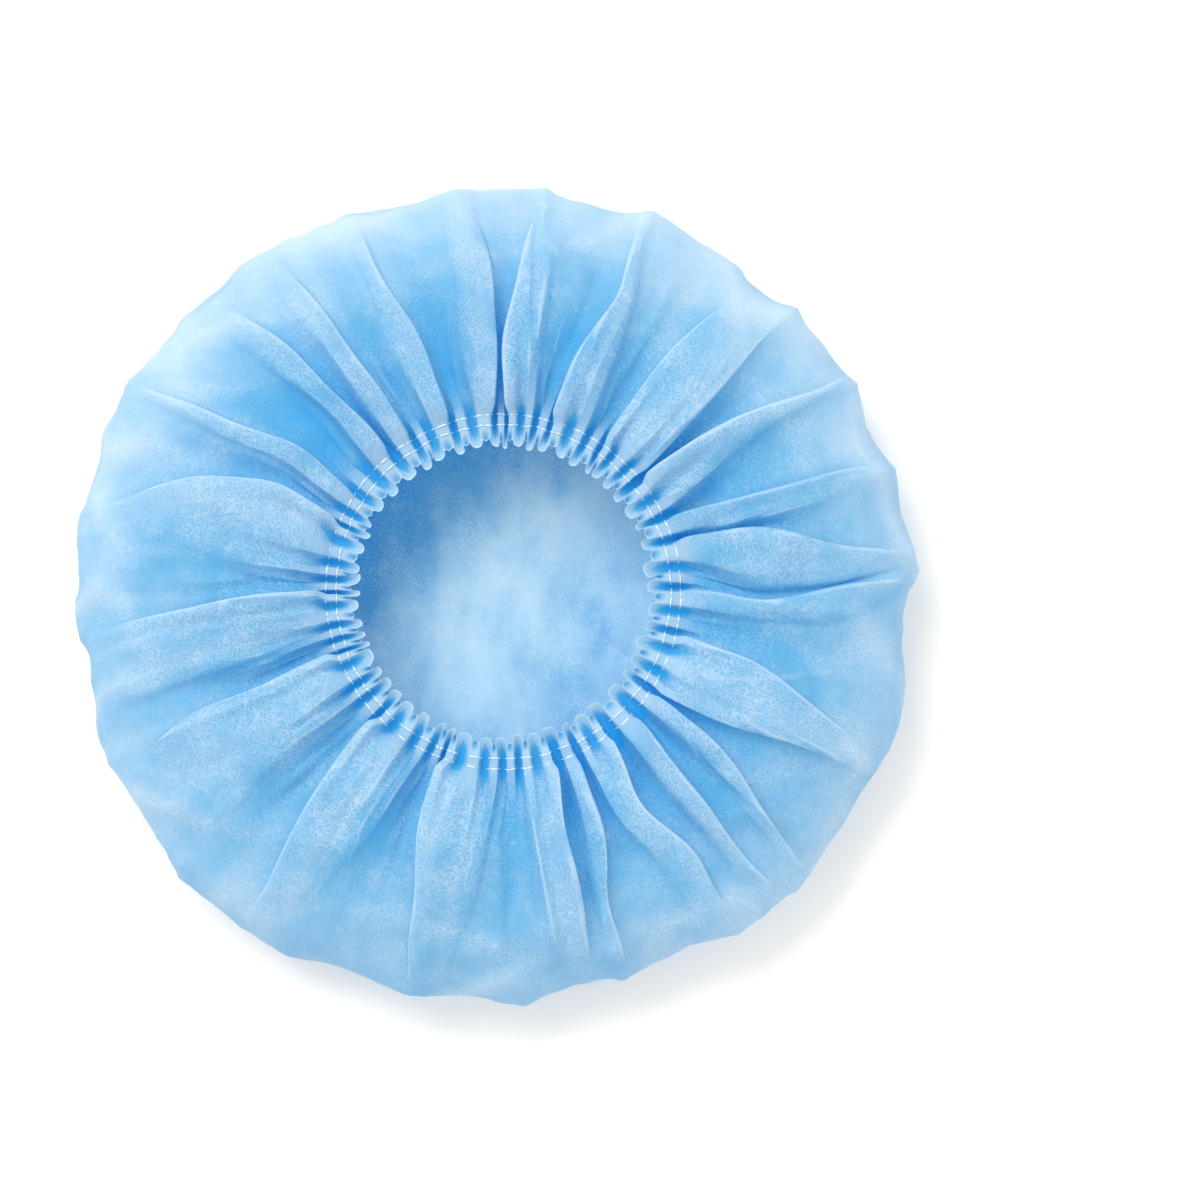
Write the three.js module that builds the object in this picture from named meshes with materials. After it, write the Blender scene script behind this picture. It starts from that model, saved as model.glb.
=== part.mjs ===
// A disposable bouffant hairnet, opened out and lying on its crown with the mouth up.
// Millimetres, +Z up, the floor at z = 0. One round sheet of thin cloth is the crown, the puffed side,
// the gathers and the frill, and a flat elastic under the gathers draws its mouth in.
import * as THREE from "three";

// Driving dimensions
const rimRadius = 146.5;
const crownFlatRadius = 88;
const seamRadius = 60.5;
const frillLength = 6.5;
const sideHeight = 45;
const foldHeight = 10;
const ruffleHeight = 2.2;
const ruffleCount = 60;
const clothWall = 1.2;
const elasticWidth = 3.4;
const elasticThickness = 0.9;
const elasticClearance = 0.3;

// Points round a ring: four to a ruffle at the seam, fewer where the cloth is plainer
const seamPoints = ruffleCount * 4;
const rimPoints = 144;
const underPoints = 96;
const crownPoints = 48;

const outerSeam = seamRadius + elasticWidth / 2;
const innerSeam = seamRadius - elasticWidth / 2;

// Rings of the sheet from the crown's edge out to the rim. A ring's radius is `share` of the way from
// crownFlatRadius to rimRadius, and `rise` is its share of sideHeight. The last three columns say how
// much of the rim's uneven outline, of the folds and of the ruffles it shows.
const UNDER_SECTIONS = [
  { share: 0, rise: 0, points: crownPoints, outline: 0, folds: 0, ruffles: 0 },
  { share: 0.48, rise: 0.035, points: underPoints, outline: 0.35, folds: 0, ruffles: 0 },
  { share: 0.8, rise: 0.16, points: rimPoints, outline: 0.8, folds: 0.05, ruffles: 0 },
  { share: 0.96, rise: 0.36, points: rimPoints, outline: 1, folds: 0.05, ruffles: 0 },
];

// Rings from the rim in to the outer stitch row, whose radius is `share` of the way from outerSeam to
// rimRadius
const SIDE_SECTIONS = [
  { share: 1, rise: 0.54, points: rimPoints, outline: 1, folds: 0.05, ruffles: 0 },
  { share: 0.96, rise: 0.71, points: rimPoints, outline: 1, folds: 0.15, ruffles: 0 },
  { share: 0.86, rise: 0.85, points: rimPoints, outline: 0.85, folds: 0.4, ruffles: 0 },
  { share: 0.7, rise: 0.95, points: seamPoints, outline: 0.55, folds: 0.7, ruffles: 0 },
  { share: 0.5, rise: 1, points: seamPoints, outline: 0.25, folds: 0.95, ruffles: 0.1 },
  { share: 0.3, rise: 1, points: seamPoints, outline: 0.1, folds: 1, ruffles: 0.25 },
  { share: 0.12, rise: 0.97, points: seamPoints, outline: 0, folds: 0.75, ruffles: 0.6 },
  { share: 0, rise: 0.92, points: seamPoints, outline: 0, folds: 0.25, ruffles: 1 },
];

// The inner stitch row, and the frill's cut edge
const innerSection = { share: 0, rise: 0.92, points: seamPoints, outline: 0, folds: 0.2, ruffles: 1 };
const edgeSection = { share: 0, rise: 1, points: seamPoints, outline: 0, folds: 0.15, ruffles: 1.15 };

// The folds that run in from the rim to the seam, counter-clockwise from +X. A fold has its middle and
// its width in degrees at the seam and at the rim, and its height as a share of foldHeight.
const FOLDS = [
  { seam: 12.7, seamWidth: 9, rim: 4.5, rimWidth: 6, height: 0.8 },
  { seam: 20.7, seamWidth: 7, rim: 18, rimWidth: 9, height: 0.65 },
  { seam: 31.7, seamWidth: 14, rim: 31, rimWidth: 6, height: 1 },
  { seam: 48.2, seamWidth: 16, rim: 48.5, rimWidth: 10, height: 1 },
  { seam: 67.7, seamWidth: 13, rim: 68.5, rimWidth: 6, height: 0.9 },
  { seam: 84, seamWidth: 9.5, rim: 84, rimWidth: 6, height: 0.8 },
  { seam: 96.7, seamWidth: 8, rim: 96.5, rimWidth: 7, height: 0.8 },
  { seam: 111, seamWidth: 8.5, rim: 112.5, rimWidth: 6, height: 0.75 },
  { seam: 124.2, seamWidth: 8, rim: 126, rimWidth: 6, height: 0.75 },
  { seam: 133.7, seamWidth: 9, rim: 137, rimWidth: 7, height: 0.85 },
  { seam: 149.2, seamWidth: 7.5, rim: 151.5, rimWidth: 6, height: 0.8 },
  { seam: 167, seamWidth: 18, rim: 170, rimWidth: 8, height: 1 },
  { seam: 188.2, seamWidth: 15.5, rim: 190.5, rimWidth: 11, height: 0.9 },
  { seam: 209, seamWidth: 17, rim: 211.5, rimWidth: 13, height: 0.95 },
  { seam: 235, seamWidth: 20, rim: 235, rimWidth: 8, height: 1 },
  { seam: 260, seamWidth: 20, rim: 259, rimWidth: 7, height: 1 },
  { seam: 281, seamWidth: 12.5, rim: 279, rimWidth: 9, height: 0.9 },
  { seam: 291.4, seamWidth: 6, rim: 287, rimWidth: 5, height: 0.6 },
  { seam: 300.7, seamWidth: 12, rim: 303, rimWidth: 6, height: 0.9 },
  { seam: 313, seamWidth: 9.5, rim: 311, rimWidth: 5, height: 0.85 },
  { seam: 323, seamWidth: 7, rim: 317, rimWidth: 5, height: 0.7 },
  { seam: 336.7, seamWidth: 19.5, rim: 335, rimWidth: 8, height: 1 },
  { seam: 357, seamWidth: 9, rim: 0.5, rimWidth: 5, height: 0.8 },
];

// The rim's outline from above: the corners that the folds pull out, each with its reach as a share of
// rimRadius, and the reach halfway to the next corner.
const RIM_CORNERS = [
  { angle: 3, reach: 0.998, between: 0.981 },
  { angle: 17.5, reach: 0.988, between: 0.959 },
  { angle: 30.5, reach: 0.99, between: 0.964 },
  { angle: 44, reach: 0.978, between: 0.947 },
  { angle: 54, reach: 0.969, between: 0.961 },
  { angle: 68.5, reach: 0.973, between: 0.952 },
  { angle: 84, reach: 0.978, between: 0.957 },
  { angle: 95, reach: 0.971, between: 0.957 },
  { angle: 112.5, reach: 0.99, between: 0.988 },
  { angle: 128, reach: 0.998, between: 0.986 },
  { angle: 139.5, reach: 1.024, between: 1.007 },
  { angle: 153.5, reach: 1.039, between: 1.019 },
  { angle: 173, reach: 1.043, between: 1.026 },
  { angle: 186.5, reach: 1.031, between: 1.004 },
  { angle: 203.5, reach: 1.041, between: 1.016 },
  { angle: 221.5, reach: 1.046, between: 1.018 },
  { angle: 239, reach: 1.022, between: 0.998 },
  { angle: 256, reach: 1, between: 0.975 },
  { angle: 273, reach: 1.002, between: 0.966 },
  { angle: 287, reach: 0.976, between: 0.961 },
  { angle: 304.5, reach: 1.01, between: 1.005 },
  { angle: 314.5, reach: 1.012, between: 0.985 },
  { angle: 340.5, reach: 1.007, between: 0.966 },
];

const { lerp, degToRad, euclideanModulo } = THREE.MathUtils;

// Difference of two angles in degrees, between -180 and 180
const turnBetween = (a, b) => euclideanModulo(a - b + 180, 360) - 180;

// The rim's reach at an angle: a parabola from corner to corner through the reach halfway
function outlineReach(degrees) {
  const last = RIM_CORNERS.length - 1;
  const after = RIM_CORNERS.findIndex((corner) => corner.angle > degrees);
  const a = after > 0 ? RIM_CORNERS[after - 1] : RIM_CORNERS[last];
  const b = after >= 0 ? RIM_CORNERS[after] : RIM_CORNERS[0];
  const share = euclideanModulo(degrees - a.angle, 360) / euclideanModulo(b.angle - a.angle, 360);
  const bow = a.between - (a.reach + b.reach) / 2;
  return lerp(a.reach, b.reach, share) + bow * 4 * share * (1 - share);
}

// How high the folds stand at an angle, 0 to 1: each is a rounded tube with a sharp valley beside it
function foldShape(degrees, outward) {
  const heights = FOLDS.map((fold) => {
    const middle = fold.seam + turnBetween(fold.rim, fold.seam) * outward;
    const halfWidth = lerp(fold.seamWidth, fold.rimWidth, outward) / 2;
    const across = Math.min(1, Math.abs(turnBetween(degrees, middle)) / halfWidth);
    return fold.height * Math.cos((across * Math.PI) / 2);
  });
  return Math.max(...heights);
}

// All the rings, each with the radius that its share counts from
const rings = [
  ...UNDER_SECTIONS.map((section) => ({ ...section, near: crownFlatRadius })),
  ...SIDE_SECTIONS.map((section) => ({ ...section, near: outerSeam })),
  { ...innerSection, near: innerSeam },
  { ...edgeSection, near: innerSeam - frillLength },
];

// Each ring's mean radius and height
const meanPoints = rings.map(
  ({ near, share, rise }) => new THREE.Vector2(lerp(near, rimRadius, share), rise * sideHeight),
);

// The sheet's outward direction at a ring, square to the line between its neighbours
function outwardNormal(index) {
  if (rings[index].rise === 0) return new THREE.Vector2(0, -1);
  const before = meanPoints[Math.max(0, index - 1)];
  const after = meanPoints[Math.min(rings.length - 1, index + 1)];
  const along = after.clone().sub(before).normalize();
  return new THREE.Vector2(along.y, -along.x);
}

// How far the cloth stands off its mean ring, along the outward direction
function standOff(ring, radius, degrees) {
  const outward = (radius - seamRadius) / (rimRadius - seamRadius);
  const fold = ring.folds ? foldHeight * ring.folds * foldShape(degrees, Math.max(0, outward)) : 0;
  const ruffle = ruffleHeight * ring.ruffles * Math.cos(degToRad(degrees) * ruffleCount);
  return fold + ruffle;
}

// One ring's outer and inner points. The wall is measured square to the cloth, so it grows along the
// outward direction where a fold's flank is steep.
function ringPoints(index) {
  const ring = rings[index];
  const mean = meanPoints[index];
  const normal = outwardNormal(index);
  const step = 360 / ring.points;
  const outer = [];
  const inner = [];
  for (let i = 0; i < ring.points; i += 1) {
    const degrees = i * step;
    const radius = mean.x * (1 + ring.outline * (outlineReach(degrees) - 1));
    const off = standOff(ring, mean.x, degrees);
    const change = standOff(ring, mean.x, degrees + step / 2) - standOff(ring, mean.x, degrees - step / 2);
    const slope = change / (degToRad(step) * mean.x);
    const wall = clothWall * Math.min(2, Math.hypot(1, slope));
    const place = (distance) => {
      const r = radius + normal.x * distance;
      const angle = degToRad(degrees);
      return [r * Math.cos(angle), r * Math.sin(angle), mean.y + normal.y * distance];
    };
    outer.push(place(off));
    inner.push(place(off - wall));
  }
  return { outer, inner };
}

// Triangles between two rings that may differ in their number of points, always stepping on the ring
// that lags behind in angle
function stitchRings(startA, countA, startB, countB) {
  const faces = [];
  let a = 0;
  let b = 0;
  while (a < countA || b < countB) {
    const stepA = b >= countB || (a < countA && (a + 0.5) / countA <= (b + 0.5) / countB);
    const nowA = startA + (a % countA);
    const nowB = startB + (b % countB);
    if (stepA) {
      faces.push([nowA, startA + ((a + 1) % countA), nowB]);
      a += 1;
    } else {
      faces.push([nowA, startB + ((b + 1) % countB), nowB]);
      b += 1;
    }
  }
  return faces;
}

// The sheet: a fan at the crown, then ring after ring to the frill's edge, outside and inside, joined
// along the cut edge
function sheetGeometry() {
  const positions = [];
  const faces = [];
  const addPoints = (points) => {
    const start = positions.length;
    positions.push(...points);
    return start;
  };
  const layer = (side, crownHeight, turnOver) => {
    const pole = addPoints([[0, 0, crownHeight]]);
    const starts = rings.map((ring, index) => addPoints(ringPoints(index)[side]));
    const add = ([p, q, r]) => faces.push(turnOver ? [p, r, q] : [p, q, r]);
    for (let i = 0; i < rings[0].points; i += 1) {
      add([pole, starts[0] + ((i + 1) % rings[0].points), starts[0] + i]);
    }
    for (let k = 0; k + 1 < rings.length; k += 1) {
      stitchRings(starts[k], rings[k].points, starts[k + 1], rings[k + 1].points).forEach(add);
    }
    return starts;
  };
  const outerStarts = layer("outer", 0, false);
  const innerStarts = layer("inner", clothWall, true);
  const last = rings.length - 1;
  faces.push(...stitchRings(outerStarts[last], seamPoints, innerStarts[last], seamPoints));
  const geometry = new THREE.BufferGeometry();
  geometry.setAttribute("position", new THREE.Float32BufferAttribute(positions.flat(), 3));
  geometry.setIndex(faces.flat());
  return geometry;
}

// The elastic: a flat ring that lies close under the lowest ruffles, between the two stitch rows
function elasticGeometry() {
  const seamHeight = innerSection.rise * sideHeight;
  const top = seamHeight - ruffleHeight - clothWall - elasticClearance;
  const bottom = top - elasticThickness;
  const corners = [
    [innerSeam, bottom],
    [outerSeam, bottom],
    [outerSeam, top],
    [innerSeam, top],
    [innerSeam, bottom],
  ];
  const profile = corners.map(([r, z]) => new THREE.Vector2(r, z));
  const geometry = new THREE.LatheGeometry(profile, ruffleCount);
  geometry.rotateX(Math.PI / 2);
  return geometry;
}

// Materials, with the colours that the cloth and the elastic show
const spunbond = new THREE.MeshStandardMaterial({ color: 0x96cdf5, roughness: 0.75, metalness: 0 });
const elastic = new THREE.MeshStandardMaterial({ color: 0xcfe8fa, roughness: 0.8, metalness: 0 });

const capSheet = new THREE.Mesh(sheetGeometry(), spunbond);
capSheet.name = "cap_sheet";

const elasticBand = new THREE.Mesh(elasticGeometry(), elastic);
elasticBand.name = "elastic_band";

// The rim is uneven, so the cap is set with the middle of its bounds over the origin
const cap = new THREE.Group();
cap.add(capSheet, elasticBand);
const bounds = new THREE.Box3().setFromObject(cap);
const middle = bounds.getCenter(new THREE.Vector3());
cap.position.set(-middle.x, -middle.y, -bounds.min.z);

const hairnet = new THREE.Group();
hairnet.add(cap);
export default hairnet;
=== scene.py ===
"""A disposable bouffant hairnet, opened out and lying on its crown: its looks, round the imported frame."""
import math

import bpy
import numpy as np
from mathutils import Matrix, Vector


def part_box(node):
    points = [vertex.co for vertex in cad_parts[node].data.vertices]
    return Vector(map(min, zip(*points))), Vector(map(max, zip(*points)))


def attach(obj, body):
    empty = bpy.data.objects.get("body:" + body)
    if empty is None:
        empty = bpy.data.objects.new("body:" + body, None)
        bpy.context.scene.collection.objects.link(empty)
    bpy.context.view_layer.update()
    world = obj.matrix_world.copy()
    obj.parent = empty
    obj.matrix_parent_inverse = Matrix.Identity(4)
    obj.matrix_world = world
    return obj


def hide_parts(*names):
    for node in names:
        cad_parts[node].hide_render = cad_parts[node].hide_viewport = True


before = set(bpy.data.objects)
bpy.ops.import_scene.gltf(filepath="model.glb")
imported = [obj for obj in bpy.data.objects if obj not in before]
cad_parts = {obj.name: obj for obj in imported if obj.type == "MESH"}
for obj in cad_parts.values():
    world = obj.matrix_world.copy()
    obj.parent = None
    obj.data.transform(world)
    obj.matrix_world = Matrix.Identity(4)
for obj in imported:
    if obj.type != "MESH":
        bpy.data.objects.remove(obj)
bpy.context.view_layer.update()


# The view: the camera hangs over the cap and looks straight down on a white sweep, under one large
# soft light from the upper left. The floor and the lights are only the studio.
FRAME_PIXELS = 1200
METRES_A_PIXEL = 0.000353
CAP_MIDDLE_PIXEL = (495.5, 597.5)
CAMERA_HEIGHT = 2.6
HEM_HEIGHT = 0.04
FLOOR_SIZE = 6.0

camera_data = bpy.data.cameras.new("overhead_camera")
camera = bpy.data.objects.new("overhead_camera", camera_data)
bpy.context.scene.collection.objects.link(camera)
bpy.context.scene.camera = camera
view_width = FRAME_PIXELS * METRES_A_PIXEL
camera_data.sensor_width = 36
camera_data.lens = camera_data.sensor_width * (CAMERA_HEIGHT - HEM_HEIGHT) / view_width
camera.location = (
    (FRAME_PIXELS / 2 - CAP_MIDDLE_PIXEL[0]) * METRES_A_PIXEL,
    (CAP_MIDDLE_PIXEL[1] - FRAME_PIXELS / 2) * METRES_A_PIXEL,
    CAMERA_HEIGHT,
)
bpy.context.scene.view_settings.view_transform = "Standard"


def linear(hex_colour):
    """The linear RGBA of an sRGB hex colour such as "8ac6f2"."""
    channels = [int(hex_colour[i:i + 2], 16) / 255 for i in (0, 2, 4)]
    return tuple(c / 12.92 if c <= 0.04045 else ((c + 0.055) / 1.055) ** 2.4 for c in channels) + (1.0,)


def add_node(tree, kind, settings=None, inputs=None, links=None):
    """A new shader node with its properties and input values set and its inputs linked from outputs."""
    node = tree.nodes.new(kind)
    for name, value in (settings or {}).items():
        setattr(node, name, value)
    for name, value in (inputs or {}).items():
        node.inputs[name].default_value = value
    for name, output in (links or {}).items():
        tree.links.new(output, node.inputs[name])
    return node


def new_material(name):
    """An empty node tree, its output node and its material."""
    material = bpy.data.materials.new(name)
    material.use_nodes = True
    material.node_tree.nodes.clear()
    return material.node_tree, add_node(material.node_tree, "ShaderNodeOutputMaterial"), material


def mesh_object(name, points, faces):
    """A smooth-shaded object from an array of points and a list of face arrays."""
    mesh = bpy.data.meshes.new(name)
    mesh.from_pydata(points.reshape(-1, 3), [], [face for part in faces for face in part.tolist()])
    mesh.shade_smooth()
    obj = bpy.data.objects.new(name, mesh)
    bpy.context.scene.collection.objects.link(obj)
    return obj


tree, output, white_sweep = new_material("white_paper_sweep")
paper = add_node(tree, "ShaderNodeBsdfDiffuse", inputs={"Color": linear("fbfbfb")})
tree.links.new(paper.outputs[0], output.inputs["Surface"])
half_floor = FLOOR_SIZE / 2
floor_corners = half_floor * np.array([[-1, -1, 0], [1, -1, 0], [1, 1, 0], [-1, 1, 0]])
floor = mesh_object("studio_floor", floor_corners, [np.array([[0, 1, 2, 3]])])
floor.data.materials.append(white_sweep)


def soft_light(name, energy, size, place):
    """A square area light at a place, turned so that its -Z looks at the origin."""
    data = bpy.data.lights.new(name, "AREA")
    data.energy = energy
    data.size = size
    light = bpy.data.objects.new(name, data)
    light.location = place
    x, y, z = place
    light.rotation_euler = (math.atan2(math.hypot(x, y), z), 0, math.atan2(y, x) + math.pi / 2)
    bpy.context.scene.collection.objects.link(light)


soft_light("key_window", energy=49, size=1.6, place=(-1.0, 1.4, 2.1))
soft_light("fill_card", energy=6, size=2.0, place=(1.6, -1.2, 1.6))
world = bpy.data.worlds.new("pale_studio")
world.use_nodes = True
world.node_tree.nodes["Background"].inputs["Color"].default_value = linear("fffaf2")
world.node_tree.nodes["Background"].inputs["Strength"].default_value = 0.97
bpy.context.scene.world = world


# The cap sheet: one round of light blue spunbond polypropylene, 21 inches across, cut with a plain
# edge. It lies on its crown, puffs out at the side and is drawn in by the elastic to the ruffled
# mouth. All of it is one surface on a grid of place round the mouth and place along the cloth.
elastic_low, elastic_high = (np.array(corner_point) for corner_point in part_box("elastic_band"))
MOUTH = (elastic_low[:2] + elastic_high[:2]) / 2
ELASTIC_WIDTH = 0.0034
OUTER_SEAM = (elastic_high[0] - elastic_low[0]) / 2
INNER_SEAM = OUTER_SEAM - ELASTIC_WIDTH
RIM_RADIUS = 0.1465
CROWN_FLAT_RADIUS = 0.088
FRILL_LENGTH = 0.006
FLOOR_GAP = 0.0002

# The folds, counter-clockwise from +X. `edges` are a fold's first and last edge in degrees, at each of
# FOLD_STATIONS on the way out from the seam. `ruffles` is how many ruffles it is gathered into, `after`
# how many the valley behind it has, and `height` its share of FOLD_HEIGHT. It overlaps the cloth next
# to it by its last edge where `lean` is above nought, and by its first edge where it is below; on the
# other side it runs out softly. At nought both sides are alike.
FOLD_HEIGHT = 0.0068
FOLD_STATIONS = [0.0, 0.31, 0.6, 0.94]
FOLDS = [
    {"edges": [(8.5, 17), (0, 14.5), (1.4, 9), (3.6, 6)],
     "ruffles": 1, "after": 0, "height": 0.8, "lean": 0.3},
    {"edges": [(17.3, 24.7), (15.2, 21), (15.8, 20.5), (16, 19)],
     "ruffles": 1, "after": 0, "height": 0.6, "lean": 0.3},
    {"edges": [(25, 38.5), (29.5, 38), (32.2, 35), (30, 32.4)],
     "ruffles": 2, "after": 0, "height": 1.0, "lean": 0.2},
    {"edges": [(40.5, 56), (41.7, 56.5), (43.7, 54.5), (44, 52.3)],
     "ruffles": 3, "after": 1, "height": 1.0, "lean": 0.0},
    {"edges": [(61.5, 74), (63, 72), (65.6, 68.6), (67.8, 70)],
     "ruffles": 2, "after": 1, "height": 0.9, "lean": 0.2},
    {"edges": [(79.5, 88.5), (80, 89.5), (81.5, 87.3), (82.6, 84.8)],
     "ruffles": 2, "after": 1, "height": 0.8, "lean": 0.2},
    {"edges": [(93, 100.5), (91.7, 101.3), (92.2, 99), (94.3, 101)],
     "ruffles": 1, "after": 1, "height": 0.85, "lean": -0.2},
    {"edges": [(107, 115), (108, 115.5), (110.7, 114.6), (111.6, 113.8)],
     "ruffles": 1, "after": 1, "height": 0.7, "lean": -0.2},
    {"edges": [(120.5, 128.3), (121.8, 127), (122.5, 127), (124, 127.5)],
     "ruffles": 1, "after": 0, "height": 0.75, "lean": -0.1},
    {"edges": [(129.1, 138), (130.8, 135.3), (131.5, 136.5), (133.5, 139)],
     "ruffles": 1, "after": 1, "height": 0.85, "lean": -0.3},
    {"edges": [(146.5, 153), (144.5, 150.3), (148.2, 151.2), (150.2, 152.8)],
     "ruffles": 1, "after": 1, "height": 0.8, "lean": -0.1},
    {"edges": [(158, 176), (155, 175.3), (159.5, 171.7), (168, 173)],
     "ruffles": 3, "after": 1, "height": 1.0, "lean": -0.2},
    {"edges": [(180.5, 196), (182, 197.7), (183.3, 196.2), (185.7, 195.4)],
     "ruffles": 3, "after": 1, "height": 0.9, "lean": -0.2},
    {"edges": [(200.5, 217.5), (202, 217.5), (201.2, 219.2), (205, 218.5)],
     "ruffles": 3, "after": 1, "height": 0.95, "lean": -0.1},
    {"edges": [(225, 245.5), (226.5, 243), (229.5, 239.7), (231.5, 238)],
     "ruffles": 3, "after": 1, "height": 1.0, "lean": -0.2},
    {"edges": [(250, 270), (251, 267.5), (254, 264.5), (256, 262)],
     "ruffles": 3, "after": 1, "height": 1.0, "lean": -0.1},
    {"edges": [(275, 287), (275.5, 283.5), (275.5, 284.6), (274.6, 283)],
     "ruffles": 2, "after": 0, "height": 0.9, "lean": 0.2},
    {"edges": [(288.3, 294.6), (288.6, 293), (286.3, 289), (286, 288.3)],
     "ruffles": 1, "after": 0, "height": 0.6, "lean": 0.2},
    {"edges": [(295.1, 306.5), (296.3, 302.5), (299.5, 306.3), (300.8, 305.4)],
     "ruffles": 2, "after": 0, "height": 0.9, "lean": 0.1},
    {"edges": [(308, 317.5), (308.7, 314.3), (309.5, 312.6), (309.8, 312.8)],
     "ruffles": 1, "after": 0, "height": 0.85, "lean": 0.2},
    {"edges": [(319.3, 326.2), (320, 325), (318.2, 320.8), (315.4, 317.8)],
     "ruffles": 1, "after": 0, "height": 0.7, "lean": 0.2},
    {"edges": [(327, 346.5), (328.5, 345), (332.5, 340.7), (333, 336)],
     "ruffles": 3, "after": 1, "height": 1.0, "lean": 0.0},
    {"edges": [(353.5, 361.5), (353.2, 357.3), (354, 360.3), (359.6, 362.6)],
     "ruffles": 1, "after": 1, "height": 0.75, "lean": 0.2},
]

# The rim's corners from above: reach is a share of the rim radius, `between` the reach halfway on
RIM_CORNERS = [
    {"angle": 3, "reach": 1.008, "between": 0.979},
    {"angle": 17.5, "reach": 0.988, "between": 0.959},
    {"angle": 30.5, "reach": 0.99, "between": 0.964},
    {"angle": 44, "reach": 0.978, "between": 0.947},
    {"angle": 54, "reach": 0.969, "between": 0.961},
    {"angle": 68.5, "reach": 0.973, "between": 0.952},
    {"angle": 84, "reach": 0.983, "between": 0.977},
    {"angle": 95, "reach": 0.976, "between": 0.957},
    {"angle": 112.5, "reach": 0.98, "between": 0.982},
    {"angle": 128, "reach": 1.008, "between": 1.008},
    {"angle": 139.5, "reach": 1.018, "between": 1.018},
    {"angle": 153.5, "reach": 1.045, "between": 1.035},
    {"angle": 173, "reach": 1.045, "between": 1.033},
    {"angle": 186.5, "reach": 1.037, "between": 1.022},
    {"angle": 203.5, "reach": 1.037, "between": 1.009},
    {"angle": 221.5, "reach": 1.045, "between": 1.026},
    {"angle": 239, "reach": 1.022, "between": 0.998},
    {"angle": 256, "reach": 0.998, "between": 0.974},
    {"angle": 273, "reach": 1.002, "between": 0.966},
    {"angle": 287, "reach": 0.976, "between": 0.961},
    {"angle": 304.5, "reach": 0.999, "between": 0.989},
    {"angle": 314.5, "reach": 1.006, "between": 0.99},
    {"angle": 340.5, "reach": 1.009, "between": 0.98},
]

# The sheet's mean path from the middle of the crown to the cut edge, as radius and height in metres
MEAN_PATH = [
    (0, 0), (0.03, 0), (0.06, 0), (CROWN_FLAT_RADIUS, 0), (0.116, 0.0016), (0.1348, 0.0072),
    (0.1442, 0.0162), (RIM_RADIUS, 0.0243), (0.1432, 0.032), (0.1347, 0.0383), (0.1213, 0.0428),
    (0.1044, 0.045), (0.0875, 0.045), (0.0723, 0.0433), (0.0655, 0.0418), (OUTER_SEAM, 0.0413),
    (INNER_SEAM, 0.0413), (INNER_SEAM - 0.2 * FRILL_LENGTH, 0.0416),
    (INNER_SEAM - 0.6 * FRILL_LENGTH, 0.0429), (INNER_SEAM - FRILL_LENGTH, 0.0447),
]


def smooth_path(points, spacing, fine_end, fine_spacing):
    """A Catmull-Rom curve through points, resampled at steps of about `spacing` along its length, and of
    about `fine_spacing` over its last `fine_end` metres."""
    points = np.array(points, float)
    before = np.vstack([2 * points[0] - points[1], points[:-1]])
    after = np.vstack([points[1:], 2 * points[-1] - points[-2]])
    slope = (after - before) / 2
    t = np.linspace(0, 1, 40, endpoint=False)[None, :, None]
    start, end = points[:-1, None, :], points[1:, None, :]
    fine = (
        (2 * t ** 3 - 3 * t ** 2 + 1) * start
        + (t ** 3 - 2 * t ** 2 + t) * slope[:-1, None, :]
        + (3 * t ** 2 - 2 * t ** 3) * end
        + (t ** 3 - t ** 2) * slope[1:, None, :]
    ).reshape(-1, 2)
    fine = np.vstack([fine, points[-1]])
    length = np.concatenate([[0], np.cumsum(np.linalg.norm(np.diff(fine, axis=0), axis=1))])
    coarse_end = length[-1] - fine_end
    steps = np.concatenate([
        np.linspace(0, coarse_end, int(round(coarse_end / spacing)) + 1)[:-1],
        np.linspace(coarse_end, length[-1], int(round(fine_end / fine_spacing)) + 1),
    ])
    return steps, np.stack([np.interp(steps, length, fine[:, k]) for k in (0, 1)], axis=1)


# Columns round the mouth. Each fold and each valley is a segment of whole ruffles; `across` runs from
# -1 to 1 over a segment and `phase` turns once for each ruffle, with its crest halfway.
COLUMNS_A_RUFFLE = 14
COLUMNS_A_NARROW_VALLEY = 4
segment_ruffles = []
segment_is_fold = []
segment_edges = []
for fold in FOLDS:
    segment_ruffles += [fold["ruffles"], fold["after"]]
    segment_is_fold += [True, False]
    segment_edges += [[first for first, last in fold["edges"]], [last for first, last in fold["edges"]]]
segment_ruffles = np.array(segment_ruffles)
segment_columns = segment_ruffles * COLUMNS_A_RUFFLE
segment_columns = np.where(segment_ruffles > 0, segment_columns, COLUMNS_A_NARROW_VALLEY)
COLUMNS = int(segment_columns.sum())
segment_start = np.concatenate([[0], np.cumsum(segment_columns)])
edge_angles = np.array(segment_edges, float).T
edge_angles = np.hstack([edge_angles, edge_angles[:, :1] + 360])
column = np.arange(COLUMNS)
segment = np.searchsorted(segment_start, column, side="right") - 1
ruffles_here = segment_ruffles[segment]
across = 2 * (column - segment_start[segment]) / segment_columns[segment] - 1
phase = math.pi * ruffles_here * (across + 1)
in_fold = np.array(segment_is_fold)[segment]
fold_of = segment // 2
CORNER_ROUNDING = 0.07


def fold_column(key):
    """One number of the folds table, for every column of the sheet."""
    return np.array([fold[key] for fold in FOLDS])[fold_of]


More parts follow.
